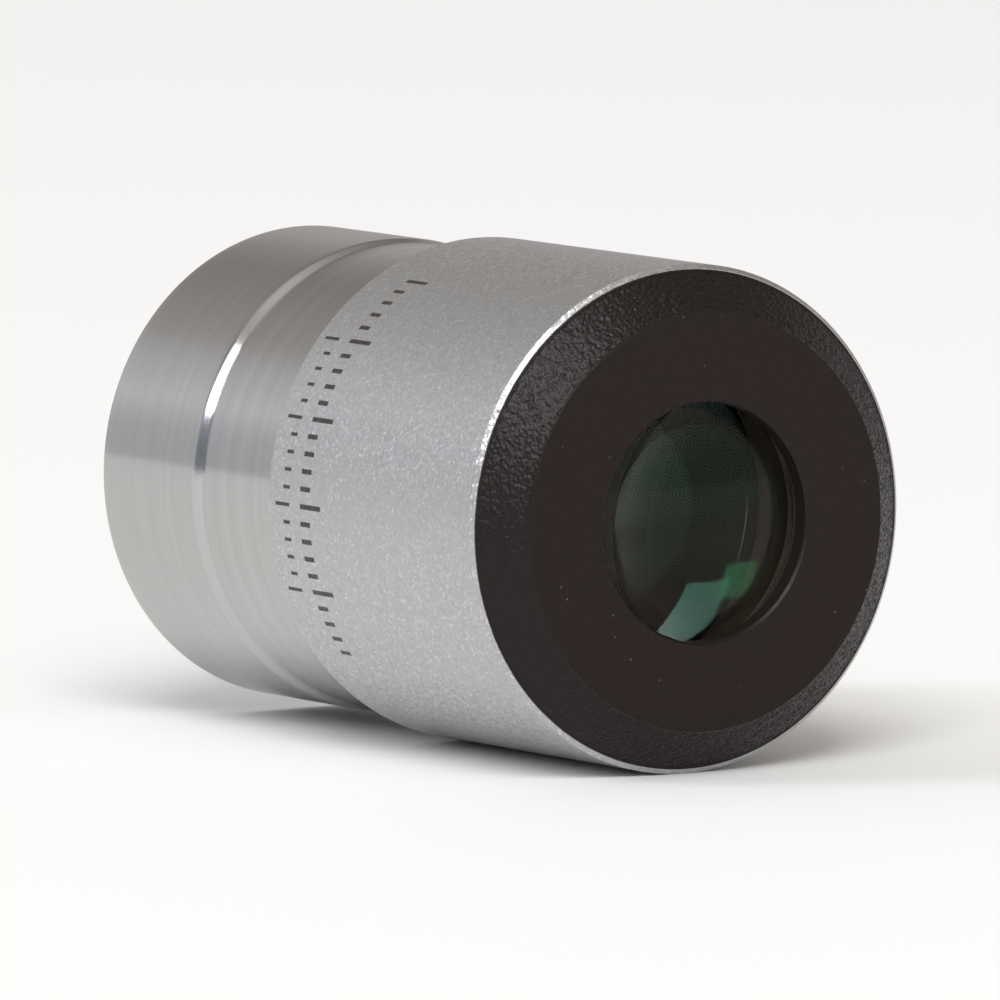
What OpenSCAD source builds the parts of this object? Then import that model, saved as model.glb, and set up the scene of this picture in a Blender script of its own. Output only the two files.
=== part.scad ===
// Telescope eyepiece with a 1.25 inch barrel: two cemented doublets in a cell, a screwed-on housing and a black bezel.
// +X runs along the optical axis from the nose to the eye, and the origin is the centre of the nose rim.

/* [Overall] */
// Length from the nose rim to the eye face
total_len = 49.5; // [46:0.5:60]
// Length of the barrel that shows, from the nose rim to the shoulder of the housing
barrel_len = 22.4; // [18.6:0.2:26]
// Diameter of the housing
housing_d = 33.4; // [32.4:0.2:41]

/* [Barrel] */
// Diameter of the nose, which slides into a 1.25 inch holder
barrel_d = 31.74; // [31.6:0.02:32]
// Length of the nose at full diameter
nose_land = 11.7; // [8:0.1:14]
// Diameter of the safety recess behind the nose
recess_d = 31.1; // [30:0.1:31.4]
// Length of the polished bevel between the nose and the recess
bevel_len = 0.9; // [0.4:0.1:2]
// Width of the relief groove at the shoulder
relief_w = 0.5; // [0.3:0.1:1]
// Depth of the relief groove
relief_deep = 0.45; // [0.2:0.05:0.8]
// Chamfer on the nose rim
nose_chamfer = 0.3; // [0.1:0.05:0.6]
// Diameter of the blackened bore that the field stop screws into
stop_bore_d = 26.4; // [24:0.1:27]
// Crest diameter of the filter thread in the nose
filter_d = 27.86; // [27.7:0.02:28]
// Pitch of the filter thread
filter_pitch = 0.6; // [0.5:0.05:0.8]
// Turns of the filter thread
filter_turns = 8; // [5:1:10]

/* [Screw joint between barrel and housing] */
// Crest diameter of the barrel's spigot
spigot_d = 27.2; // [26.6:0.1:27.5]
// Length of the spigot
spigot_len = 4.6; // [3:0.1:6]
// Diameter of the opening through the spigot
spigot_bore_d = 22.6; // [20:0.1:23.6]
// Room past the end of the spigot
spigot_run_out = 0.5; // [0.3:0.1:1]

/* [Lenses] */
// Diameter of all four lenses
lens_d = 18; // [15:0.1:21.6]
// Radius of the curve on the outside of each doublet
outer_curve = 38.7; // [30:0.1:60]
// Radius of both curves of the crown lenses
crown_curve = 18.3; // [16:0.1:24]
// Thickness of a crown lens at its edge
crown_edge = 1.3; // [0.8:0.1:2]
// Thickness of a flint lens at its centre
flint_centre = 1.6; // [1.2:0.1:2.5]
// Air gap between the two crown lenses on the axis
air_gap = 0.6; // [0.3:0.1:1.5]
// Thickness of the cement in each doublet
cement = 0.01; // [0.01:0.01:0.03]

/* [Cell] */
// Outside diameter of the lens cell
cell_d = 25; // [24.6:0.1:26.2]
// Diameter of the opening in the lip of the cell
cell_lip_d = 16.4; // [13:0.1:17.2]
// Thickness of the lip
cell_lip = 0.6; // [0.4:0.1:1.2]
// Wall of the spacer ring between the doublets
spacer_wall = 0.8; // [0.5:0.1:1.5]
// Thickness of the retaining ring
retainer_t = 2; // [1.2:0.1:3]
// Wall of the retaining ring
retainer_wall = 1.8; // [1.2:0.1:2.5]
// Depth of the retaining ring's thread in the cell wall
retainer_thread = 0.5; // [0.3:0.05:0.6]

/* [Field stop] */
// Diameter of the opening that bounds the view
stop_d = 15.9; // [12:0.1:19]
// Thickness of the ring
stop_t = 2; // [1.5:0.1:3]
// Thickness left at the edge of the opening
stop_edge = 0.3; // [0.2:0.05:0.6]
// Gap between the ring and the shoulder inside the barrel
stop_gap = 1; // [0.5:0.1:2]

/* [Bezel] */
// Height of the bezel's cone
bezel_h = 2.4; // [1.8:0.1:4]
// Diameter of the flat eye face
face_d = 27.3; // [22:0.1:30]
// Diameter of the eye hole
eye_hole_d = 15.7; // [13:0.1:19]
// Chamfer round the eye hole
eye_chamfer = 0.2; // [0.1:0.05:0.5]
// Thickness of the eye face
face_t = 1.3; // [1:0.1:2]
// Wall of the plug that is pressed into the housing, over the cell's bore
plug_wall = 1.95; // [1:0.05:2.5]
// Length of the plug
plug_len = 3; // [2:0.1:5]

/* [Details] */
// Width of the bright chamfer at the front of the housing
front_chamfer = 0.3; // [0.1:0.05:0.4]
// Chamfer at the rear edge of the housing
rear_chamfer = 0.1; // [0.05:0.05:0.3]
// Width of the spanner notches in both rings
notch_w = 1.6; // [1:0.1:2.5]
// Depth of the spanner notches
notch_deep = 0.8; // [0.4:0.1:1]
// Radial clearance of the lenses in the cell
lens_fit = 0.05; // [0.02:0.01:0.08]
// Radial clearance of the cell in the housing
cell_fit = 0.05; // [0.03:0.01:0.09]
// Radial clearance of the screwed pieces
thread_fit = 0.05; // [0.03:0.01:0.09]
// Gap between faces that are clamped together
face_gap = 0.02; // [0.01:0.01:0.05]

/* [Hidden] */
$fn = 96;

barrel_r = barrel_d / 2;
recess_r = recess_d / 2;
stop_bore_r = stop_bore_d / 2;
spigot_r = spigot_d / 2;
spigot_bore_r = spigot_bore_d / 2;
housing_r = housing_d / 2;
lens_r = lens_d / 2;
cell_r = cell_d / 2;

// How far a curve of radius r has fallen back from its vertex at distance h from the axis
function sag(r, h) = r - sqrt(r * r - h * h);

// Filter thread: the groove is cut 0.54 of a pitch deep and its flats are an eighth of a pitch, as in any metric thread
thread_depth = 0.54 * filter_pitch;
crest_flat = filter_pitch / 8;
thread_start = 0.6;
thread_end = thread_start + filter_turns * filter_pitch;
filter_relief = 0.8;

// Barrel
bevel_x = nose_land + bevel_len;
spigot_x = barrel_len + spigot_len;
shoulder_wall = 1.2;
spigot_lead = 0.4;
bore_x = barrel_len - shoulder_wall;

// Cell and bezel
seam_x = total_len - bezel_h;
face_back_x = total_len - face_t;
cell_front_x = face_back_x - face_gap;
cell_rear_x = spigot_x + face_gap;
lens_seat_x = cell_front_x - cell_lip;
cell_bore_r = lens_r + lens_fit;
housing_bore_r = cell_r + cell_fit;
plug_r = housing_bore_r + plug_wall;
retainer_r = lens_r + retainer_thread;
cone_base_r = housing_r - front_chamfer;

// Lens places on the axis, from the eye back to the nose; a flat ring meets a curved face at the ring's own bore
spacer_bore_r = lens_r - spacer_wall;
retainer_bore_r = retainer_r - retainer_wall;
crown_centre = crown_edge + 2 * sag(crown_curve, lens_r);
eye_vertex_x = lens_seat_x - face_gap + sag(outer_curve, cell_lip_d / 2);
eye_cement_x = eye_vertex_x - flint_centre;
eye_back_x = eye_cement_x - cement - crown_centre;
field_front_x = eye_back_x - air_gap;
field_cement_x = field_front_x - crown_centre;
field_vertex_x = field_cement_x - cement - flint_centre;
spacer_sag = sag(crown_curve, spacer_bore_r) - face_gap;
retainer_x = field_vertex_x + sag(outer_curve, retainer_bore_r) - face_gap;
retainer_run_out = 1;
cell_thread_x = retainer_x + retainer_run_out;

// Field stop
stop_front_x = bore_x - stop_gap;
stop_x = stop_front_x - stop_t;

// A ring turned from an outline of [radius, x] points
module turned(outline) {
    rotate([0, 90, 0]) rotate_extrude() polygon(outline);
}

// A rod along X
module rod(r, x0, x1) {
    translate([x0, 0, 0]) rotate([0, 90, 0]) cylinder(r = r, h = x1 - x0);
}

// A ball on the axis
module ball(r, x) {
    translate([x, 0, 0]) rotate([0, 90, 0]) sphere(r = r);
}

// Two notches across a ring of radius r, cut into its face at x on the side towards the nose
module spanner_notches(r, x) {
    translate([x - notch_deep, -2 * r, -notch_w / 2]) cube([2 * notch_deep, 4 * r, notch_w]);
}

// Biconvex crown between two vertices
module crown(rear_x, front_x) {
    intersection() {
        rod(lens_r, rear_x, front_x);
        ball(crown_curve, rear_x + crown_curve);
        ball(crown_curve, front_x - crown_curve);
    }
}

function filter_groove(x) = [
    [filter_d / 2, x + crest_flat],
    [filter_d / 2 + thread_depth, x + filter_pitch / 2],
    [filter_d / 2 + thread_depth, x + filter_pitch / 2 + crest_flat],
    [filter_d / 2, x + filter_pitch]
];

module nose_barrel() {
    color("silver") turned(concat(
        [
            [filter_d / 2 + thread_depth, 0],
            [barrel_r - nose_chamfer, 0],
            [barrel_r, nose_chamfer],
            [barrel_r, nose_land],
            [recess_r, bevel_x],
            [recess_r, barrel_len - relief_w],
            [recess_r - relief_deep, barrel_len - relief_w],
            [recess_r - relief_deep, barrel_len],
            [spigot_r, barrel_len],
            [spigot_r, spigot_x - spigot_lead],
            [spigot_r - spigot_lead, spigot_x],
            [spigot_bore_r, spigot_x],
            [spigot_bore_r, bore_x],
            [stop_bore_r, bore_x],
            [stop_bore_r, thread_end + filter_relief],
            [filter_d / 2 + thread_depth, thread_end + filter_relief],
            [filter_d / 2 + thread_depth, thread_end]
        ],
        [for (i = [filter_turns - 1:-1:0])
            for (p = [3:-1:0])
                filter_groove(thread_start + i * filter_pitch)[p]],
        [[filter_d / 2, thread_start]]
    ));
}

module field_stop() {
    color("dimgray") difference() {
        turned([
            [stop_bore_r - thread_fit, stop_x],
            [stop_bore_r - thread_fit, stop_front_x],
            [stop_d / 2, stop_front_x],
            [stop_d / 2, stop_front_x - stop_edge],
            [stop_d / 2 + stop_t - stop_edge, stop_x]
        ]);
        spanner_notches(stop_bore_r, stop_x);
    }
}

module lens_cell() {
    color("dimgray") turned([
        [cell_r, cell_rear_x],
        [cell_r, cell_front_x],
        [cell_lip_d / 2, cell_front_x],
        [cell_lip_d / 2, lens_seat_x],
        [cell_bore_r, lens_seat_x],
        [cell_bore_r, cell_thread_x],
        [retainer_r + thread_fit, cell_thread_x],
        [retainer_r + thread_fit, cell_rear_x]
    ]);
}

module eye_flint() {
    color("seagreen") difference() {
        intersection() {
            rod(lens_r, eye_cement_x - sag(crown_curve, lens_r), eye_vertex_x);
            ball(outer_curve, eye_vertex_x - outer_curve);
        }
        ball(crown_curve, eye_cement_x - crown_curve);
    }
}

module eye_crown() {
    color("mediumseagreen") crown(eye_back_x, eye_cement_x - cement);
}

module lens_spacer() {
    color("black") turned([
        [lens_r, field_front_x - spacer_sag],
        [lens_r, eye_back_x + spacer_sag],
        [spacer_bore_r, eye_back_x + spacer_sag],
        [spacer_bore_r, field_front_x - spacer_sag]
    ]);
}

module field_crown() {
    color("mediumseagreen") crown(field_cement_x, field_front_x);
}

module field_flint() {
    color("seagreen") difference() {
        intersection() {
            rod(lens_r, field_vertex_x, field_cement_x - cement + sag(crown_curve, lens_r));
            ball(outer_curve, field_vertex_x + outer_curve);
        }
        ball(crown_curve, field_cement_x - cement + crown_curve);
    }
}

module retaining_ring() {
    color("dimgray") difference() {
        turned([
            [retainer_bore_r, retainer_x - retainer_t],
            [retainer_r, retainer_x - retainer_t],
            [retainer_r, retainer_x],
            [retainer_bore_r, retainer_x]
        ]);
        spanner_notches(retainer_r, retainer_x - retainer_t);
    }
}

module housing() {
    color("lightgray") turned([
        [spigot_r + thread_fit, barrel_len],
        [housing_r - rear_chamfer, barrel_len],
        [housing_r, barrel_len + rear_chamfer],
        [housing_r, seam_x - front_chamfer],
        [cone_base_r, seam_x],
        [plug_r, seam_x],
        [plug_r, seam_x - plug_len],
        [housing_bore_r, seam_x - plug_len],
        [housing_bore_r, spigot_x + spigot_run_out],
        [spigot_r + thread_fit, spigot_x + spigot_run_out]
    ]);
}

module eye_bezel() {
    color([0.15, 0.13, 0.13]) turned([
        [plug_r, seam_x - plug_len],
        [plug_r, seam_x],
        [cone_base_r, seam_x],
        [face_d / 2, total_len],
        [eye_hole_d / 2 + eye_chamfer, total_len],
        [eye_hole_d / 2, total_len - eye_chamfer],
        [eye_hole_d / 2, face_back_x],
        [housing_bore_r, face_back_x],
        [housing_bore_r, seam_x - plug_len]
    ]);
}

nose_barrel();
field_stop();
lens_cell();
eye_flint();
eye_crown();
lens_spacer();
field_crown();
field_flint();
retaining_ring();
housing();
eye_bezel();
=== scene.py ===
import math

import bpy
import numpy as np
from mathutils import Matrix, Vector


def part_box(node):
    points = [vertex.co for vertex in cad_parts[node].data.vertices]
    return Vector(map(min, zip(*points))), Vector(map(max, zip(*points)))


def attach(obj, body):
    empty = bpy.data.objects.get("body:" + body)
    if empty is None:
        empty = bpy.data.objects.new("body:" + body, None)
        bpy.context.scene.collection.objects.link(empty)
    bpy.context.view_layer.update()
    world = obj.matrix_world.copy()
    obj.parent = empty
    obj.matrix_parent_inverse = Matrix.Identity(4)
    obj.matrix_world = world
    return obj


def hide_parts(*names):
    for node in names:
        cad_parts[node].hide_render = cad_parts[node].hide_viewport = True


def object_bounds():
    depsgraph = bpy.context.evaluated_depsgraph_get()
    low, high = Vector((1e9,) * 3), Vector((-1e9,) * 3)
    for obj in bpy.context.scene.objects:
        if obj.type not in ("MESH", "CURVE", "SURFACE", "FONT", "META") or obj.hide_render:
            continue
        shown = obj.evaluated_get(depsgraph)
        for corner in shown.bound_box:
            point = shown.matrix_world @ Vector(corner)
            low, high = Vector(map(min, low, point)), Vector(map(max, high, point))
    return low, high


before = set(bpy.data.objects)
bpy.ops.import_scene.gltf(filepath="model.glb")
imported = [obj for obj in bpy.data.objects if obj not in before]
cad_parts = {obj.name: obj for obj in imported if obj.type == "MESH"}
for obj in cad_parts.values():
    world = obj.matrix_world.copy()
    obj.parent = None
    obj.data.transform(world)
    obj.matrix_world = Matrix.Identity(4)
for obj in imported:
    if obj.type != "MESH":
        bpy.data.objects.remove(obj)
cadBox = [list(corner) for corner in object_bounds()]
mm = 0.001


cameraView = {
    "azimuth": 57.28,     # degrees round the object, 0 looks along +Y
    "elevation": 5.72,    # degrees above the horizon
    "distance": 1.2053,   # metres from the eye face, along the view
    "lens": 666.6,        # mm, on a 36 mm sensor
    "faceRight": 13.44,   # mm from the view's axis to the eye face's centre, to the right
    "faceBelow": 1.47,    # mm, the same downwards
}


def placeCamera(view):
    azimuth, elevation = math.radians(view["azimuth"]), math.radians(view["elevation"])
    right = Vector((math.cos(azimuth), math.sin(azimuth), 0))
    back = Vector((
        math.sin(azimuth) * math.cos(elevation),
        -math.cos(azimuth) * math.cos(elevation),
        math.sin(elevation),
    ))
    up = back.cross(right)
    eyeFace = Vector((cadBox[1][0], 0, 0))
    camera = bpy.data.cameras.new("camera")
    camera.lens = view["lens"]
    camera.sensor_width = 36
    camera.clip_end = 20
    holder = bpy.data.objects.new("camera", camera)
    place = eyeFace - right * view["faceRight"] * mm + up * view["faceBelow"] * mm
    place += back * view["distance"]
    holder.matrix_world = Matrix.Translation(place) @ Matrix((right, up, back)).transposed().to_4x4()
    bpy.context.collection.objects.link(holder)
    bpy.context.scene.camera = holder


# Each softbox: the azimuth and elevation it stands at, seen from the object, in degrees, its distance
# and size in metres, and its power in watts
softboxes = {
    "key": {
        "azimuth": 56, "elevation": 42, "distance": 6.0, "size": (2.9, 3.0), "power": 262, "tint": "#ffffff",
    },
    "window": {
        "azimuth": -23, "elevation": 34, "distance": 6.0, "size": (1.5, 2.6), "power": 105, "tint": "#f4f7ff",
    },
}

# The room above the floor, by the sine of the elevation: light walls, a darker upper part and a light
# ceiling
roomBands = (
    (0.0, "#dcdde1"), (0.05, "#dddee2"), (0.15, "#dfe0e4"), (0.26, "#eeeff1"), (0.36, "#d6d6d7"),
    (0.44, "#cfcdcb"), (0.54, "#a09c98"), (0.7, "#b6b3b0"), (1.0, "#f4f3f1"),
)
# A tint of that light by the side it comes from, the near one at 0 and the far one at 1: both ends are
# darker
roomSides = ((0.04, "#a2a6ae"), (0.22, "#ffffff"), (0.42, "#ffffff"), (0.6, "#d8d4d0"))
roomLight = 1.04


def linearColour(hexText, alpha=1.0):
    srgb = np.array([int(hexText[i:i + 2], 16) for i in (1, 3, 5)]) / 255
    linear = np.where(srgb <= 0.04045, srgb / 12.92, ((srgb + 0.055) / 1.055) ** 2.4)
    return (*[float(channel) for channel in linear], alpha)


# One node with its settings: an input given as a socket is linked, any other is set on the socket, and
# stops are a colour ramp's pairs of position and colour
def addNode(tree, kind, inputs=None, stops=None, **settings):
    node = tree.nodes.new(kind)
    for name, value in settings.items():
        setattr(node, name, value)
    for name, value in (inputs or {}).items():
        if isinstance(value, bpy.types.NodeSocket):
            tree.links.new(value, node.inputs[name])
        else:
            node.inputs[name].default_value = value
    if stops:
        marks = node.color_ramp.elements
        marks[0].position, marks[1].position = stops[0][0], stops[-1][0]
        marks[0].color, marks[1].color = linearColour(stops[0][1]), linearColour(stops[-1][1])
        for position, colour in stops[1:-1]:
            marks.new(position).color = linearColour(colour)
    return node


def lightRoom():
    world = bpy.data.worlds.new("room")
    bpy.context.scene.world = world
    world.use_nodes = True
    tree = world.node_tree
    tree.nodes.clear()
    where = addNode(tree, "ShaderNodeTexCoord").outputs["Generated"]
    split = addNode(tree, "ShaderNodeSeparateXYZ", {"Vector": where})
    height = addNode(tree, "ShaderNodeValToRGB", {"Fac": split.outputs["Z"]}, roomBands).outputs["Color"]
    nearness = addNode(
        tree, "ShaderNodeMapRange", {"Value": split.outputs["Y"], "From Min": -1.0, "From Max": 1.0},
    ).outputs["Result"]
    front = addNode(tree, "ShaderNodeValToRGB", {"Fac": nearness}, roomSides).outputs["Color"]
    both = addNode(
        tree, "ShaderNodeMix", {"Factor": 1.0, 6: height, 7: front}, data_type="RGBA", blend_type="MULTIPLY",
    )
    glow = addNode(tree, "ShaderNodeBackground", {"Color": both.outputs[2], "Strength": roomLight})
    addNode(tree, "ShaderNodeOutputWorld", {"Surface": glow.outputs["Background"]})


def placeSoftboxes():
    middle = Vector(((cadBox[0][0] + cadBox[1][0]) / 2, 0, 0))
    for name, box in softboxes.items():
        azimuth, elevation = math.radians(box["azimuth"]), math.radians(box["elevation"])
        back = Vector((
            math.sin(azimuth) * math.cos(elevation),
            -math.cos(azimuth) * math.cos(elevation),
            math.sin(elevation),
        ))
        lamp = bpy.data.lights.new(name, "AREA")
        lamp.shape = "RECTANGLE"
        lamp.size, lamp.size_y = box["size"]
        lamp.energy = box["power"]
        lamp.color = linearColour(box["tint"])[:3]
        holder = bpy.data.objects.new(name, lamp)
        holder.location = middle + back * box["distance"]
        holder.rotation_mode = "QUATERNION"
        holder.rotation_quaternion = (-back).to_track_quat("-Z", "Y")
        bpy.context.collection.objects.link(holder)


floorSheet = {"size": 24.0, "colour": "#f5f5f4", "roughness": 0.7, "sheen": 0.2}   # size in metres


def layFloor():
    half = floorSheet["size"] / 2
    low = cadBox[0][2]
    sheet = bpy.data.meshes.new("floor")
    corners = [(-half, -half, low), (half, -half, low), (half, half, low), (-half, half, low)]
    sheet.from_pydata(corners, [], [(0, 1, 2, 3)])
    floor = bpy.data.objects.new("floor", sheet)
    bpy.context.collection.objects.link(floor)
    paper = bpy.data.materials.new("paleBoard")
    paper.use_nodes = True
    shader = paper.node_tree.nodes["Principled BSDF"]
    shader.inputs["Base Color"].default_value = linearColour(floorSheet["colour"])
    shader.inputs["Roughness"].default_value = floorSheet["roughness"]
    shader.inputs["Specular IOR Level"].default_value = floorSheet["sheen"]
    sheet.materials.append(paper)


arcPoints = 5
endGathered = np.array([0.01, 0.06, 0.5, 0.94, 0.99])   # shares of a straight stretch where its points stand


# A closed outline in mm from corners (x, r, fillet, region, inner points). A corner is an arc of its
# fillet radius, centred on the bisector at radius / sin(half angle) from the corner, and ends radius /
# tan(half angle) along each side. The straight stretch after it has inner points: a few are gathered
# near its ends, so that flat faces shade flat, and many are evenly apart
def turnedOutline(corners):
    spot = np.array([[c[0], c[1]] for c in corners], float)
    fillet = np.array([c[2] for c in corners], float)
    toLast, toNext = np.roll(spot, 1, 0) - spot, np.roll(spot, -1, 0) - spot
    toLast /= np.linalg.norm(toLast, axis=1)[:, None]
    toNext /= np.linalg.norm(toNext, axis=1)[:, None]
    half = np.arccos(np.clip((toLast * toNext).sum(1), -1, 1)) / 2
    setback = (fillet / np.tan(half))[:, None]
    middle = toLast + toNext
    middle /= np.maximum(np.linalg.norm(middle, axis=1), 1e-9)[:, None]
    centre = spot + middle * (fillet / np.sin(half))[:, None]
    startArm, endArm = spot + toLast * setback - centre, spot + toNext * setback - centre
    sine = startArm[:, 0] * endArm[:, 1] - startArm[:, 1] * endArm[:, 0]
    turn = np.arctan2(sine, (startArm * endArm).sum(1))
    rows, regions = [], []
    for i, corner in enumerate(corners):
        steps = np.linspace(0, 1, arcPoints) if fillet[i] > 0 else np.zeros(1)
        angle = (turn[i] * steps)[:, None]
        arm = startArm[i]
        swung = np.hstack([
            arm[0] * np.cos(angle) - arm[1] * np.sin(angle),
            arm[0] * np.sin(angle) + arm[1] * np.cos(angle),
        ])
        arc = centre[i] + swung
        j = (i + 1) % len(corners)
        start, stop = arc[-1], spot[j] + (toLast * setback)[j]
        inner = corner[4] if len(corner) > 4 else len(endGathered)
        share = np.linspace(0, 1, inner + 2)[1:-1]
        if inner < len(endGathered):
            share = 0.5 - 0.5 * np.cos(math.pi * share)
        elif inner == len(endGathered):
            share = endGathered
        straight = start + (stop - start) * share[:, None]
        rows.append(np.vstack([arc, straight]))
        regions.append(np.full(len(arc) + len(straight), corner[3]))
    return np.vstack(rows), np.concatenate(regions)


# Puts points, and faces given as arrays of equal-sided faces, into a mesh as whole arrays
def makeMesh(name, points, faceArrays, regions, materials):
    mesh = bpy.data.meshes.new(name)
    sizes = np.concatenate([np.full(len(faces), faces.shape[1]) for faces in faceArrays])
    loops = np.concatenate([faces.ravel() for faces in faceArrays])
    mesh.vertices.add(len(points))
    mesh.vertices.foreach_set("co", (points * mm).ravel())
    mesh.loops.add(len(loops))
    mesh.loops.foreach_set("vertex_index", loops.astype(np.int32))
    mesh.polygons.add(len(sizes))
    mesh.polygons.foreach_set("loop_start", (np.cumsum(sizes) - sizes).astype(np.int32))
    mesh.polygons.foreach_set("material_index", regions.astype(np.int32))
    mesh.polygons.foreach_set("use_smooth", np.ones(len(sizes), bool))
    mesh.update(calc_edges=True)
    mesh.validate()
    for material in materials:
        mesh.materials.append(material)
    piece = bpy.data.objects.new(name, mesh)
    bpy.context.collection.objects.link(piece)
    return piece


# Ring turned from a closed outline: a point is (x, r cos t, r sin t), and relief(x, r, t, region) adds
# (dx, dr). The area's sign, half the sum of x r' - x' r, tells which way the outline ran
def turnedRing(name, corners, materials, segments=256, relief=None):
    rows, regions = turnedOutline(corners)
    x, r = rows[:, 0], rows[:, 1]
    area = (x * np.roll(r, -1) - np.roll(x, -1) * r).sum()
    t = np.arange(segments) * 2 * math.pi / segments
    gridX, gridR = np.repeat(x[:, None], segments, 1), np.repeat(r[:, None], segments, 1)
    if relief:
        dx, dr = relief(gridX, gridR, t[None, :], regions[:, None])
        gridX, gridR = gridX + dx, gridR + dr
    points = np.stack([gridX, gridR * np.cos(t), gridR * np.sin(t)], 2).reshape(-1, 3)
    i, j = np.meshgrid(np.arange(len(x)), np.arange(segments), indexing="ij")
    nextI, nextJ = (i + 1) % len(x), (j + 1) % segments
    here, onward = i * segments, nextI * segments
    quads = np.stack([here + j, here + nextJ, onward + nextJ, onward + j], 2).reshape(-1, 4)
    if area > 0:   # the outline ran anticlockwise, so turn the faces round
        quads = quads[:, ::-1]
    return makeMesh(name, points, [quads], np.repeat(regions, segments), materials)


# Crest and flank are shares of half a pitch, and fade is a share of a whole one, at each end
threadForm = {"crest": 0.125, "flank": 0.7, "fade": 0.6}


# Trapezoid screw thread: how deep the groove is at (x, t), 0 on a crest and 1 in a root, fading out at
# both ends. The phase is (x - start) / pitch less t / 2 pi, folded into a triangle wave whose top is
# the crest
def threadGroove(x, t, pitch, start, stop):
    phase = (x - start) / pitch - t / (2 * math.pi)
    wave = np.abs(2 * (phase - np.floor(phase)) - 1)
    groove = np.clip((1 - threadForm["crest"] - wave) / threadForm["flank"], 0, 1)
    run = threadForm["fade"] * pitch
    return groove * np.clip((x - start) / run, 0, 1) * np.clip((stop - x) / run, 0, 1)


# Where a CAD node starts (end 0) or stops (end 1) along the axis, in mm
def axisEnd(node, end):
    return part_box(node)[end][0] / mm


def outerRadius(node):
    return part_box(node)[1][2] / mm


def newMaterial(name, colour, roughness, **constants):
    material = bpy.data.materials.new(name)
    material.use_nodes = True
    tree = material.node_tree
    shader = tree.nodes["Principled BSDF"]
    shader.inputs["Base Color"].default_value = linearColour(colour)
    shader.inputs["Roughness"].default_value = roughness
    for key, value in constants.items():
        shader.inputs[key.replace("_", " ")].default_value = value
    material.diffuse_color = linearColour(colour)
    return material, tree, shader


# The piece's own coordinates in mm: X runs along the optical axis
def lathePlace(tree):
    where = addNode(tree, "ShaderNodeTexCoord").outputs["Object"]
    return addNode(tree, "ShaderNodeVectorMath", {0: where, "Scale": 1 / mm}, operation="SCALE").outputs[0]


# Bare aluminium, turned on a lathe and left as cut: the fine rings smear its mirror image along the
# axis only
turnedMetal = {
    "colour": "#b4b3b2",
    "tones": ((0.35, "#afaead"), (0.65, "#b9b8b7")),
    "roughness": 0.18,
    "stretch": 0.92,        # how much longer the smear is along the axis than round it
    "lineWidth": 0.12,      # mm, the tool's feed lines
    "lineDepth": 0.0008,    # mm
    "bandWidth": 1.1,       # mm, the slower change of tone along the axis
    "lineShare": 0.6,       # of the tone; the rest comes from the bands
}


def turnedAluminium():
    material, tree, shader = newMaterial(
        "turnedAluminium", turnedMetal["colour"], turnedMetal["roughness"], Metallic=1.0,
        Anisotropic=turnedMetal["stretch"], Anisotropic_Rotation=0.25,
    )
    place = lathePlace(tree)
    axis = addNode(tree, "ShaderNodeSeparateXYZ", {"Vector": place}).outputs["X"]
    lines = addNode(
        tree, "ShaderNodeTexNoise",
        {"W": axis, "Scale": 1 / turnedMetal["lineWidth"], "Detail": 3.0, "Roughness": 0.6},
        noise_dimensions="1D",
    ).outputs["Fac"]
    cut = addNode(
        tree, "ShaderNodeBump", {"Height": lines, "Strength": 1.0, "Distance": turnedMetal["lineDepth"] * mm},
    )
    tree.links.new(cut.outputs["Normal"], shader.inputs["Normal"])
    tangent = addNode(tree, "ShaderNodeTangent", direction_type="RADIAL", axis="X")
    tree.links.new(tangent.outputs["Tangent"], shader.inputs["Tangent"])
    bands = addNode(
        tree, "ShaderNodeTexNoise", {"W": axis, "Scale": 1 / turnedMetal["bandWidth"], "Detail": 2.0},
        noise_dimensions="1D",
    ).outputs["Fac"]
    both = addNode(tree, "ShaderNodeMix", {"Factor": 1 - turnedMetal["lineShare"], "A": lines, "B": bands})
    tone = addNode(tree, "ShaderNodeValToRGB", {"Fac": both.outputs["Result"]}, turnedMetal["tones"])
    tree.links.new(tone.outputs["Color"], shader.inputs["Base Color"])
    return material


# The same aluminium where the tool burnished it bright, on the bevel and the chamfers: a white flash in
# the light
polishedMetal = {
    "colour": "#bababa",
    "roughness": 0.14,
    "haze": (0.11, 0.19),   # the least and the most roughness
    "hazeWidth": 1 / 3,     # mm
}


def polishedAluminium():
    p = polishedMetal
    material, tree, shader = newMaterial("polishedAluminium", p["colour"], p["roughness"], Metallic=1.0)
    haze = addNode(
        tree, "ShaderNodeTexNoise", {"Vector": lathePlace(tree), "Scale": 1 / p["hazeWidth"], "Detail": 2.0},
    ).outputs["Fac"]
    rough = addNode(
        tree, "ShaderNodeMapRange", {"Value": haze, "To Min": p["haze"][0], "To Max": p["haze"][1]},
    )
    tree.links.new(rough.outputs["Result"], shader.inputs["Roughness"])
    return material


# Matt black anodising on turned aluminium, ribbed by the tool: it kills stray light inside the tube.
# On the lens cell and the spacer it has faded to a warm dark brown
ribbing = {"width": 0.2, "depth": 0.02, "strength": 0.3, "roughness": 0.6, "sheen": 0.1}   # mm


def blackAnodised(name, colour):
    material, tree, shader = newMaterial(
        name, colour, ribbing["roughness"], Specular_IOR_Level=ribbing["sheen"],
    )
    place = lathePlace(tree)
    axis = addNode(tree, "ShaderNodeSeparateXYZ", {"Vector": place}).outputs["X"]
    ribs = addNode(
        tree, "ShaderNodeTexNoise", {"W": axis, "Scale": 1 / ribbing["width"], "Detail": 2.0},
        noise_dimensions="1D",
    )
    bump = addNode(
        tree, "ShaderNodeBump",
        {"Height": ribs.outputs["Fac"], "Strength": ribbing["strength"], "Distance": ribbing["depth"] * mm},
    )
    tree.links.new(bump.outputs["Normal"], shader.inputs["Normal"])
    return material


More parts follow.
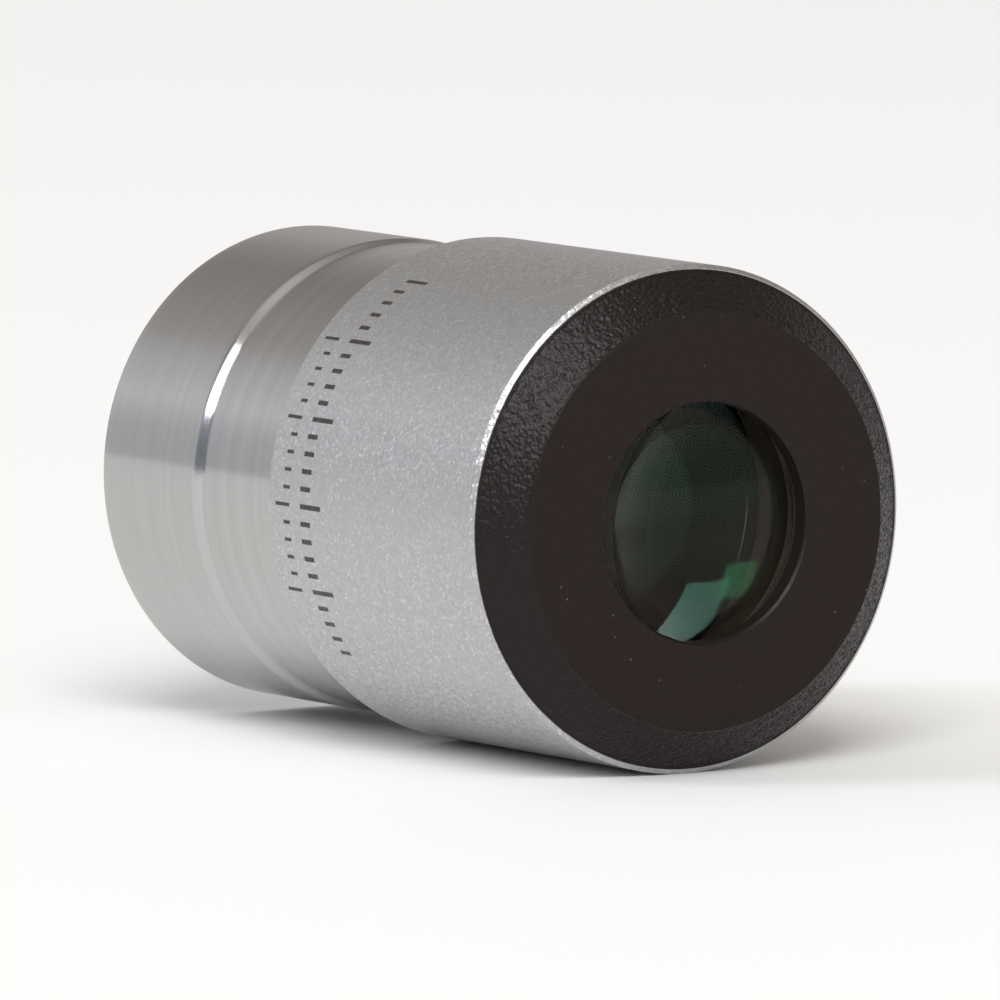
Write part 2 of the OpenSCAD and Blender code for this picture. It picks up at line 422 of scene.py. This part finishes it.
# Sprayed silver metallic paint: aluminium flakes, drawn larger than the real ones, lie at random tilts in a
# satin lacquer and catch the light one by one.
# Some flakes also carry painted glints: their base colour is lifted towards near white, as if they caught the
# light
silver = {
    "colour": "#b8b8b7",
    "flake": 0.15,      # mm
    "tilt": 0.27,       # how far a flake's normal leans, as a length added to a normal of 1
    "roughness": 0.38,
    "mottle": 0.4,      # mm, cloudiness of the spray
    "tones": ((0.25, "#afafaf"), (0.75, "#bcbcbc")),
    # Painted glints: flake colours from grey up to near white, overlaid on the tone in the base colour
    "paintedGlints": ((0.0, "#a9a9a9"), (0.85, "#bfbfbf"), (1.0, "#f0f0f0")),
    "paintedGlintShare": 0.45,
    "metal": 0.9,
}

# Two rows of plain graduations printed on the housing, facing each other across a gap: where a row's
# strokes start and how far the short and the long ones reach, in mm from the rear edge, how wide they
# are, and the arc they fill in degrees; every fifth stroke is a long one
printedRows = (
    {"start": 2.6, "short": 1.8, "long": 0.9, "stroke": 0.25, "from": -22, "to": 42},
    {"start": 3.9, "short": 5.1, "long": 6.4, "stroke": 0.34, "from": -38, "to": 62},
)
printPitch = 4       # degrees from stroke to stroke
longEvery = 5
printEdge = 0.03     # mm, how soft an ink edge is along the axis
roundEdge = 0.1      # degrees, the same round it
inkColour = "#241c19"


# 1 inside a soft-edged interval, 0 outside: how far the value lies from the middle, against half the
# width
def within(tree, value, low, high, soft):
    middle, half = (low + high) / 2, (high - low) / 2
    offset = addNode(tree, "ShaderNodeMath", {0: value, 1: middle}, operation="SUBTRACT").outputs[0]
    distance = addNode(tree, "ShaderNodeMath", {0: offset}, operation="ABSOLUTE").outputs[0]
    return addNode(
        tree, "ShaderNodeMapRange",
        {"Value": distance, "From Min": half - soft, "From Max": half + soft, "To Min": 1.0, "To Max": 0.0},
    ).outputs["Result"]


# Ink where the place along the axis and the angle round it both fall in a stroke
def printMask(tree, place):
    split = addNode(tree, "ShaderNodeSeparateXYZ", {"Vector": place})
    near = addNode(tree, "ShaderNodeMath", {0: split.outputs["Y"], 1: -1.0}, operation="MULTIPLY").outputs[0]
    turn = addNode(tree, "ShaderNodeMath", {0: split.outputs["Z"], 1: near}, operation="ARCTAN2").outputs[0]
    angle = addNode(tree, "ShaderNodeMath", {0: turn}, operation="DEGREES").outputs[0]
    rear, radius = axisEnd("housing", 0), outerRadius("housing")
    ink = None
    for row in printedRows:
        arc = within(tree, angle, row["from"], row["to"], roundEdge / 2)
        half = math.degrees(row["stroke"] / radius / 2)
        for reach, every in (("short", 1), ("long", longEvery)):
            ends = sorted((rear + row["start"], rear + row[reach]))
            along = within(tree, split.outputs["X"], *ends, printEdge)
            fold = every * printPitch / 2
            turned = addNode(tree, "ShaderNodeMath", {0: angle, 1: fold}, operation="PINGPONG")
            stroke = within(tree, turned.outputs[0], -half, half, roundEdge)
            both = addNode(tree, "ShaderNodeMath", {0: along, 1: arc}, operation="MULTIPLY").outputs[0]
            mark = addNode(tree, "ShaderNodeMath", {0: both, 1: stroke}, operation="MULTIPLY").outputs[0]
            last = 0.0 if ink is None else ink
            ink = addNode(tree, "ShaderNodeMath", {0: last, 1: mark}, operation="MAXIMUM").outputs[0]
    return ink


def silverPaint():
    material, tree, shader = newMaterial("silverMetallicPaint", silver["colour"], silver["roughness"])
    place = lathePlace(tree)
    cells = addNode(tree, "ShaderNodeTexVoronoi", {"Vector": place, "Scale": 1 / silver["flake"]})
    flakes = cells.outputs["Color"]
    tilt = addNode(tree, "ShaderNodeVectorMath", {0: flakes, 1: (0.5, 0.5, 0.5)}, operation="SUBTRACT")
    lean = addNode(
        tree, "ShaderNodeVectorMath", {0: tilt.outputs[0], "Scale": silver["tilt"]}, operation="SCALE",
    )
    flat = addNode(tree, "ShaderNodeNewGeometry").outputs["Normal"]
    tilted = addNode(tree, "ShaderNodeVectorMath", {0: flat, 1: lean.outputs[0]}, operation="ADD")
    normal = addNode(tree, "ShaderNodeVectorMath", {0: tilted.outputs[0]}, operation="NORMALIZE")
    tree.links.new(normal.outputs[0], shader.inputs["Normal"])
    cloud = addNode(
        tree, "ShaderNodeTexNoise",
        {"Vector": place, "Scale": 1 / silver["mottle"], "Detail": 4.0, "Roughness": 0.7},
    ).outputs["Fac"]
    tone = addNode(tree, "ShaderNodeValToRGB", {"Fac": cloud}, silver["tones"]).outputs["Color"]
    # Painted glints: each flake's random value lifts its base colour towards near white, standing in for the
    # light it would catch
    cell = addNode(tree, "ShaderNodeSeparateColor", {"Color": flakes}).outputs["Blue"]
    paintedGlint = addNode(tree, "ShaderNodeValToRGB", {"Fac": cell}, silver["paintedGlints"]).outputs["Color"]
    toneAndPaintedGlints = addNode(
        tree, "ShaderNodeMix", {"Factor": silver["paintedGlintShare"], 6: tone, 7: paintedGlint},
        data_type="RGBA", blend_type="OVERLAY",
    ).outputs[2]
    ink = printMask(tree, place)
    colour = addNode(
        tree, "ShaderNodeMix", {"Factor": ink, 6: toneAndPaintedGlints, 7: linearColour(inkColour)}, data_type="RGBA",
    ).outputs[2]
    tree.links.new(colour, shader.inputs["Base Color"])
    metal = addNode(tree, "ShaderNodeMapRange", {"Value": ink, "To Min": silver["metal"], "To Max": 0.0})
    tree.links.new(metal.outputs["Result"], shader.inputs["Metallic"])
    return material


# Black ABS with a spark-eroded grain on the cone: the coarser grain is in the mesh, this adds the finer
# one, and its low sheen breaks into glints
plasticGrain = {"colour": "#1b1514", "roughness": 0.22, "sheen": 0.2, "width": 1 / 7, "depth": 0.04}   # mm


def grainedPlastic():
    g = plasticGrain
    material, tree, shader = newMaterial(
        "grainedBlackPlastic", g["colour"], g["roughness"], Specular_IOR_Level=g["sheen"],
    )
    fine = addNode(
        tree, "ShaderNodeTexNoise",
        {"Vector": lathePlace(tree), "Scale": 1 / g["width"], "Detail": 3.0, "Roughness": 0.6},
    )
    bump = addNode(
        tree, "ShaderNodeBump", {"Height": fine.outputs["Fac"], "Strength": 1.0, "Distance": g["depth"] * mm},
    )
    tree.links.new(bump.outputs["Normal"], shader.inputs["Normal"])
    return material


# The same plastic on the flat face, where the mould was blasted matt: fine pits and a few pale specks
# of dust
mattFace = {
    "colour": "#211a18", "tones": ((0.35, "#1c1614"), (0.7, "#271e1c")), "roughness": 0.62, "sheen": 0.15,
    "pit": 1 / 9, "pitDepth": 0.02,   # mm
    "pitStrength": 0.35,
}

# Specks stand in cells this far apart and are this big, in mm; share says how many cells hold one
dust = {"apart": 1.1, "size": 0.09, "share": 0.12, "colour": "#6b645e"}


def mattPlastic():
    f = mattFace
    material, tree, shader = newMaterial(
        "mattBlackPlastic", f["colour"], f["roughness"], Specular_IOR_Level=f["sheen"],
    )
    place = lathePlace(tree)
    pits = addNode(
        tree, "ShaderNodeTexNoise",
        {"Vector": place, "Scale": 1 / f["pit"], "Detail": 4.0, "Roughness": 0.65},
    ).outputs["Fac"]
    tone = addNode(tree, "ShaderNodeValToRGB", {"Fac": pits}, f["tones"]).outputs["Color"]
    cells = addNode(tree, "ShaderNodeTexVoronoi", {"Vector": place, "Scale": 1 / dust["apart"]})
    speck = addNode(
        tree, "ShaderNodeMapRange",
        {"Value": cells.outputs["Distance"], "From Min": dust["size"] / dust["apart"], "From Max": 0.0},
    ).outputs["Result"]
    chance = addNode(tree, "ShaderNodeSeparateColor", {"Color": cells.outputs["Color"]}).outputs["Red"]
    chosen = addNode(tree, "ShaderNodeMath", {0: chance, 1: 1 - dust["share"]}, operation="GREATER_THAN")
    dusty = addNode(tree, "ShaderNodeMath", {0: speck, 1: chosen.outputs[0]}, operation="MULTIPLY").outputs[0]
    colour = addNode(
        tree, "ShaderNodeMix", {"Factor": dusty, 6: tone, 7: linearColour(dust["colour"])},
        data_type="RGBA",
    ).outputs[2]
    tree.links.new(colour, shader.inputs["Base Color"])
    bump = addNode(
        tree, "ShaderNodeBump",
        {"Height": pits, "Strength": f["pitStrength"], "Distance": f["pitDepth"] * mm},
    )
    tree.links.new(bump.outputs["Normal"], shader.inputs["Normal"])
    return material


# Optical glass with a multi-layer coating: nearly black to look into, with faint coloured mirror
# images. The tint scales the mirror image of bare glass, ((ior - 1) / (ior + 1)) squared
def coatedGlass(name, tint, ior):
    material, tree, shader = newMaterial(name, "#ffffff", 0.0, IOR=ior, Transmission_Weight=1.0)
    shader.inputs["Specular Tint"].default_value = linearColour(tint)
    return material


# The cylindrical edge of a lens, ground with grit and not polished: a dull grey-brown
groundEdge = {
    "colour": "#8f8d84", "tones": ((0.3, "#504b40"), (0.7, "#736c5c")), "roughness": 0.6,
    "grit": 0.125,   # mm
}


def groundGlass():
    material, tree, shader = newMaterial("groundGlass", groundEdge["colour"], groundEdge["roughness"])
    grit = addNode(
        tree, "ShaderNodeTexNoise",
        {"Vector": lathePlace(tree), "Scale": 1 / groundEdge["grit"], "Detail": 3.0},
    ).outputs["Fac"]
    tone = addNode(tree, "ShaderNodeValToRGB", {"Fac": grit}, groundEdge["tones"]).outputs["Color"]
    tree.links.new(tone, shader.inputs["Base Color"])
    return material


# The cemented face between a crown and a flint gives no mirror image: the crown's side is clear, and
# the flint's bends light by the step from one glass to the other, flint ior / crown ior
def cementedFaces(crownIor, flintIor):
    crownSide = newMaterial(
        "cementedCrownFace", "#ffffff", 0.0, IOR=1.0, Transmission_Weight=1.0, Alpha=0.0,
    )[0]
    flintSide, tree, shader = newMaterial(
        "cementedFlintFace", "#ffffff", 0.0, IOR=flintIor / crownIor, Transmission_Weight=1.0,
    )
    shader.inputs["Specular Tint"].default_value = linearColour("#000000")
    return crownSide, flintSide


# Lengths and radii in mm
barrel = {
    "noseLand": 11.7, "bevel": 0.9, "recess": 15.55, "relief": 0.5, "reliefDeep": 0.45, "noseChamfer": 0.3,
    "filterPitch": 0.6, "filterCrest": 13.93, "filterStart": 0.6, "filterTurns": 8, "filterDepth": 0.32,
    "filterRunOut": 0.8, "bore": 13.2, "boreWall": 1.2,
    "spigot": 13.6, "spigotBore": 11.3, "spigotPitch": 1.0, "spigotDepth": 0.5, "spigotLead": 0.4,
    "leadIn": 0.2,
    "edge": 0.08, "sharpEdge": 0.05, "innerEdge": 0.1, "bevelRound": 1.2,   # corner radii
    "segments": 256,
}


# The barrel: an outline turned about the axis, less the filter thread's groove inside the nose, which
# adds to the radius, and the male thread's on the spigot, which takes from it
def noseBarrel(finishes):
    b = barrel
    shoulder, spigotEnd = axisEnd("housing", 0), axisEnd("nose_barrel", 1)
    nose = outerRadius("nose_barrel")
    filterEnd = b["filterStart"] + b["filterTurns"] * b["filterPitch"]
    bevelEnd = b["noseLand"] + b["bevel"]
    filterRoot = b["filterCrest"] + b["filterDepth"]
    runOut = filterEnd + b["filterRunOut"]
    reliefX, reliefR = shoulder - b["relief"], b["recess"] - b["reliefDeep"]
    wall = shoulder - b["boreWall"]
    corners = [
        (0, filterRoot, 0.0, 1),
        (0, nose - b["noseChamfer"], b["edge"], 1),
        (b["noseChamfer"], nose, b["edge"], 0, 12),
        (b["noseLand"], nose, b["bevelRound"], 1),
        (bevelEnd, b["recess"], b["bevelRound"], 0, 12),
        (reliefX, b["recess"], b["sharpEdge"], 0),
        (reliefX, reliefR, b["sharpEdge"], 0),
        (shoulder, reliefR, 0.0, 0),
        (shoulder, b["spigot"], b["sharpEdge"], 3, 64),
        (spigotEnd - b["spigotLead"], b["spigot"], b["edge"], 0),
        (spigotEnd, b["spigot"] - b["spigotLead"], b["edge"], 2),
        (spigotEnd, b["spigotBore"], b["innerEdge"], 2),
        (wall, b["spigotBore"], b["innerEdge"], 2),
        (wall, b["bore"], b["sharpEdge"], 2, 12),
        (runOut, b["bore"], b["sharpEdge"], 2),
        (runOut, filterRoot, b["sharpEdge"], 2),
        (filterEnd, filterRoot, 0.0, 2),
        (filterEnd, b["filterCrest"], 0.0, 4, 96),
        (b["filterStart"], b["filterCrest"], 0.0, 1),
    ]

    def threads(x, r, t, region):
        male = threadGroove(x, t, b["spigotPitch"], shoulder + b["leadIn"], spigotEnd - b["leadIn"])
        female = threadGroove(x, t, b["filterPitch"], b["filterStart"], filterEnd)
        return 0 * x, b["filterDepth"] * female * (region == 4) - b["spigotDepth"] * male * (region == 3)

    metal, bright, black = finishes
    piece = turnedRing("noseBarrel", corners, [metal, bright, black, metal, black], b["segments"], threads)
    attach(piece, "barrel")
    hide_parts("nose_barrel")


housingShape = {
    "frontChamfer": 0.26, "rearChamfer": 0.1, "plug": 14.5, "plugLength": 3.0, "bore": 12.55,
    "threadBore": 13.65, "runOut": 0.5, "pitch": 1.0, "threadDepth": 0.5, "leadIn": 0.2,
    "rearEdge": 0.03, "rimEdge": 0.06, "seamEdge": 0.04,   # corner radii
    "segments": 256,
}


# The housing: a thick sleeve turned about the axis, with the female thread's groove added to the radius
# inside its rear end
def housingSleeve(finishes):
    h = housingShape
    rear, front, radius = axisEnd("housing", 0), axisEnd("housing", 1), outerRadius("housing")
    spigotEnd = axisEnd("nose_barrel", 1)
    corners = [
        (rear, h["threadBore"], 0.0, 1),
        (rear, radius - h["rearChamfer"], h["rearEdge"], 0),
        (rear + h["rearChamfer"], radius, h["rearEdge"], 0, 24),
        (front - h["frontChamfer"], radius, h["rimEdge"], 0),
        (front, radius - h["frontChamfer"], h["seamEdge"], 0),
        (front, h["plug"], 0.0, 2),
        (front - h["plugLength"], h["plug"], 0.0, 2),
        (front - h["plugLength"], h["bore"], 0.0, 2, 12),
        (spigotEnd + h["runOut"], h["bore"], 0.0, 2),
        (spigotEnd + h["runOut"], h["threadBore"], 0.0, 3, 64),
    ]

    def thread(x, r, t, region):
        groove = threadGroove(x, t, h["pitch"], rear + h["leadIn"], spigotEnd)
        return 0 * x, h["threadDepth"] * groove * (region == 3)

    paint, bright, black = finishes
    piece = turnedRing("housingSleeve", corners, [paint, bright, black, bright], h["segments"], thread)
    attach(piece, "housing")
    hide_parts("housing")


bezel = {
    "face": 13.65, "hole": 7.85, "holeChamfer": 0.2, "faceThickness": 1.3, "plug": 14.5, "bore": 12.55,
    "grain": 0.045, "grainHeight": 0.022, "grainTop": 2.5, "grainFloor": -3, "grainSeed": 11,
    "holeGrain": 0.5,      # of the cone's grain, on the hole's chamfer
    "smoothBand": 0.12,    # beside the seam
    "fadeIn": 0.05, "fadeOut": 0.1, "fadeStop": 0.02, "meanRadius": 15, "coneRows": 42, "segments": 1000,
    "seamEdge": 0.04, "faceEdge": 0.12, "holeEdge": 0.1, "boreEdge": 0.06,   # corner radii
}


# Smooth random field that joins up round the axis, with a spread of 1: white noise blurred by a
# Gaussian of the grain's size, as a product with exp(-2 (pi size frequency) squared) in frequency
def grainField(rows, columns, rowStep, columnStep, grain, seed):
    noise = np.random.default_rng(seed).standard_normal((rows, columns))
    across = np.fft.fftfreq(rows, rowStep)[:, None]
    around = np.fft.fftfreq(columns, columnStep)[None, :]
    soft = np.exp(-2 * (math.pi * grain) ** 2 * (across ** 2 + around ** 2))
    field = np.fft.ifft2(np.fft.fft2(noise) * soft).real
    return field / field.std()


# The bezel: a turned ring with a cone. The grain moves a point along the cone's normal, (sin slope, cos
# slope)
def eyeBezel(finishes):
    b = bezel
    back, front = axisEnd("eye_bezel", 0), axisEnd("eye_bezel", 1)
    seam, base = axisEnd("housing", 1), outerRadius("housing") - housingShape["frontChamfer"]
    inside = front - b["faceThickness"]
    slope = math.atan2(base - b["face"], front - seam)   # how far the cone's side leans in towards the axis
    grainStart = seam + b["smoothBand"]
    corners = [
        (back, b["bore"], 0.0, 2, 1),
        (back, b["plug"], 0.0, 2, 1),
        (seam, b["plug"], 0.0, 2, 2),
        (seam, base, b["seamEdge"], 1),
        (grainStart, base - b["smoothBand"] * math.tan(slope), 0.0, 0, b["coneRows"]),
        (front, b["face"], b["faceEdge"], 1),
        (front, b["hole"] + b["holeChamfer"], b["holeEdge"], 3, 6),
        (front - b["holeChamfer"], b["hole"], b["boreEdge"], 2),
        (inside, b["hole"], 0.0, 2, 2),
        (inside, b["bore"], 0.0, 2, 1),
    ]

    def grain(x, r, t, region):
        rows, columns = x.shape
        rowStep = (front - grainStart) / math.cos(slope) / b["coneRows"]
        columnStep = 2 * math.pi * b["meanRadius"] / columns
        field = grainField(rows, columns, rowStep, columnStep, b["grain"], b["grainSeed"])
        fadeIn = np.clip((x - grainStart) / b["fadeIn"], 0, 1)
        fadeOut = np.clip((front - b["fadeStop"] - x) / b["fadeOut"], 0, 1)
        share = fadeIn * fadeOut * (region == 0) + b["holeGrain"] * (region == 3)
        # The cone itself is the highest the grain reaches
        rise = b["grainHeight"] * (np.clip(field, b["grainFloor"], b["grainTop"]) - b["grainTop"]) * share
        return rise * math.sin(slope), rise * math.cos(slope)

    grained, matt = finishes
    piece = turnedRing("eyeBezel", corners, [grained, matt, matt, grained], b["segments"], grain)
    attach(piece, "housing")
    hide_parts("eye_bezel")


# Radii and thicknesses in mm, and what each face's coating reflects
optics = {
    "radius": 9.0, "outerCurve": 38.7, "crownCurve": 18.3, "flintCentre": 1.6, "crownEdge": 1.3,
    "cement": 0.01, "edgeBevel": 0.15,
    "edgePoints": 6, "rings": 48, "ringGather": 0.8, "segments": 192,
    "flintIor": 1.65, "crownIor": 1.52,
    "eyeTint": "#805f5a", "flintTint": "#326254", "crownTint": "#1c5f3f",
}


# How far a face of this radius of curvature has fallen back at height h: r - sqrt(r squared - h squared)
def sag(curve, h):
    return curve - np.sqrt(curve ** 2 - h ** 2)


# A lens from its two vertices and two signed curves, positive where the face bulges outwards: a face
# point at height h is the vertex moved inwards by the sag, turned about the axis
def lens(name, node, rearX, frontX, rearCurve, frontCurve, finishes):
    o = optics
    height = np.linspace(0, 1, o["rings"]) ** o["ringGather"] * (o["radius"] - o["edgeBevel"])
    rear = rearX + math.copysign(1, rearCurve) * sag(abs(rearCurve), height)
    front = frontX - math.copysign(1, frontCurve) * sag(abs(frontCurve), height)
    edgeRear, edgeFront = rear[-1] + o["edgeBevel"], front[-1] - o["edgeBevel"]
    edge = np.linspace(edgeRear, edgeFront, o["edgePoints"])
    x = np.concatenate([rear, edge, front[::-1]])
    r = np.concatenate([height, np.full(len(edge), o["radius"]), height[::-1]])
    region = np.concatenate([
        np.full(len(rear) - 1, 0), np.full(len(edge) + 1, 1), np.full(len(front) - 1, 2),
    ])
    t = np.arange(o["segments"]) * 2 * math.pi / o["segments"]
    ringX, ringR = x[1:-1], r[1:-1]
    grid = np.stack([
        np.repeat(ringX[:, None], len(t), 1), ringR[:, None] * np.cos(t), ringR[:, None] * np.sin(t),
    ], 2).reshape(-1, 3)
    points = np.vstack([grid, [[x[0], 0, 0], [x[-1], 0, 0]]])
    n, s = len(ringX), len(t)
    i, j = np.meshgrid(np.arange(n - 1), np.arange(s), indexing="ij")
    nextJ = (j + 1) % s
    quads = np.stack([i * s + j, i * s + nextJ, (i + 1) * s + nextJ, (i + 1) * s + j], 2).reshape(-1, 4)
    around = np.arange(s)
    after = (around + 1) % s
    rearFan = np.stack([np.full(s, n * s), after, around], 1)
    frontFan = np.stack([np.full(s, n * s + 1), (n - 1) * s + around, (n - 1) * s + after], 1)
    regions = np.concatenate([np.repeat(region[1:-1], s), np.full(s, 0), np.full(s, 2)])
    piece = makeMesh(name, points, [quads, rearFan, frontFan], regions, finishes)
    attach(piece, "lens_pack")
    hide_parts(node)
    return piece


# Two cemented doublets with their crowns face to face. A crown is as thick in the middle as its edge and
# its two sags together, and the cement is a thin gap between crown and flint
def lensPack():
    o = optics
    eyeFace = coatedGlass("warmCoatedFlintGlass", o["eyeTint"], o["flintIor"])
    flint = coatedGlass("tealCoatedFlintGlass", o["flintTint"], o["flintIor"])
    crown = coatedGlass("greenCoatedCrownGlass", o["crownTint"], o["crownIor"])
    ground = groundGlass()
    crownCement, flintCement = cementedFaces(o["crownIor"], o["flintIor"])
    eyeFront, fieldRear = axisEnd("eye_flint", 1), axisEnd("field_flint", 0)
    crownCentre = o["crownEdge"] + 2 * float(sag(o["crownCurve"], o["radius"]))
    eyeCement = eyeFront - o["flintCentre"]
    fieldCement = fieldRear + o["flintCentre"]
    eyeBack, fieldBack = eyeCement - o["cement"], fieldCement + o["cement"]
    biconvex, outer = o["crownCurve"], o["outerCurve"]
    pieces = [
        lens("eyeFlint", "eye_flint", eyeCement, eyeFront, -biconvex, outer,
             [flintCement, ground, eyeFace]),
        lens("eyeCrown", "eye_crown", eyeBack - crownCentre, eyeBack, biconvex, biconvex,
             [crown, ground, crownCement]),
        lens("fieldCrown", "field_crown", fieldBack, fieldBack + crownCentre, biconvex, biconvex,
             [crownCement, ground, crown]),
        lens("fieldFlint", "field_flint", fieldRear, fieldCement, outer, -biconvex,
             [flint, ground, flintCement]),
    ]


print("stage: camera, lights and floor")
bpy.context.scene.view_settings.view_transform = "Standard"
placeCamera(cameraView)
lightRoom()
placeSoftboxes()
layFloor()

print("stage: barrel and housing")
metal, bright = turnedAluminium(), polishedAluminium()
black = blackAnodised("blackAnodisedAluminium", "#0a0a0b")
noseBarrel([metal, bright, black])
housingSleeve([silverPaint(), bright, black])

print("stage: bezel")
eyeBezel([grainedPlastic(), mattPlastic()])

print("stage: lenses and inner rings")
lensPack()
faded = blackAnodised("fadedAnodisedAluminium", "#3a3329")
innerRings = {"field_stop": black, "retaining_ring": black, "lens_cell": faded, "lens_spacer": faded}
for node, finish in innerRings.items():
    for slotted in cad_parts[node].material_slots:
        slotted.material = finish
